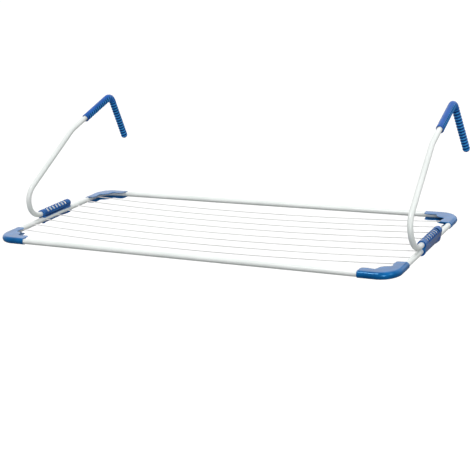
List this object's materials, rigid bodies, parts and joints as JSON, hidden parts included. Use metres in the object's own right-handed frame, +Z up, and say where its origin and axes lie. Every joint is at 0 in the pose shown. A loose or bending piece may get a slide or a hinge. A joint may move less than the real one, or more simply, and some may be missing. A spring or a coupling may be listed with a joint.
{
  "type": "hang-on clothes drying rack",
  "caption": "Hang-on clothes airer: bent tube frame strung with line wires, plastic corner covers, and two sliding, swivelling hook arms for a balcony railing.",
  "frame": {"origin": "middle of the hang line, the line through the saddles of the two hooks", "axes": "+X along the long rails, to the right; +Y from the front rail towards and past the railing; +Z up"},
  "size_m": [1.209, 0.6809, 0.3302],
  "materials": {
    "white_enamel": "satin white powder coat on steel tube",
    "line_coating": "thin smooth white coating on steel wire",
    "bare_steel": "zinc plated",
    "blue_corner_plastic": "glossy moulded",
    "blue_clip_plastic": "glossy moulded",
    "blue_grip_plastic": "soft gloss, moulded with transverse ribs",
    "white_plastic": "matt moulded"
  },
  "bodies": {
    "frame": {"front_frame_tube": "white_enamel", "rear_frame_tube": "white_enamel", "left_frame_spigot": "bare_steel", "right_frame_spigot": "bare_steel", "line_wire_1": "line_coating", "line_wire_2": "line_coating", "line_wire_3": "line_coating", "line_wire_4": "line_coating", "line_wire_5": "line_coating", "line_wire_6": "line_coating", "line_wire_7": "line_coating", "line_wire_8": "line_coating", "front_left_corner_cover": "blue_corner_plastic", "front_right_corner_cover": "blue_corner_plastic", "rear_left_corner_cover": "blue_corner_plastic", "rear_right_corner_cover": "blue_corner_plastic", "left_clip": "blue_clip_plastic", "right_clip": "blue_clip_plastic"},
    "left_slider": {"left_arm_end_plug": "white_plastic"},
    "left_arm": {"left_arm_tube": "white_enamel", "left_hook_cover": "blue_grip_plastic"},
    "right_slider": {"right_arm_end_plug": "white_plastic"},
    "right_arm": {"right_arm_tube": "white_enamel", "right_hook_cover": "blue_grip_plastic"}
  },
  "joints": [
    {"name": "left_arm_slide", "type": "slide", "parent": "frame", "child": "left_slider", "axis": [0, -1, 0], "range_m": [0, 0.087]},
    {"name": "left_arm_swivel", "type": "hinge", "parent": "left_slider", "child": "left_arm", "pos_m": [-0.593, -0.36825, -0.27273], "axis": [0, 1, 0], "range_deg": [-95, 83]},
    {"name": "right_arm_slide", "type": "slide", "parent": "frame", "child": "right_slider", "axis": [0, -1, 0], "range_m": [-0.0145, 0.0725]},
    {"name": "right_arm_swivel", "type": "hinge", "parent": "right_slider", "child": "right_arm", "pos_m": [0.593, -0.38275, -0.27273], "axis": [0, -1, 0], "range_deg": [-95, 83]}
  ]
}
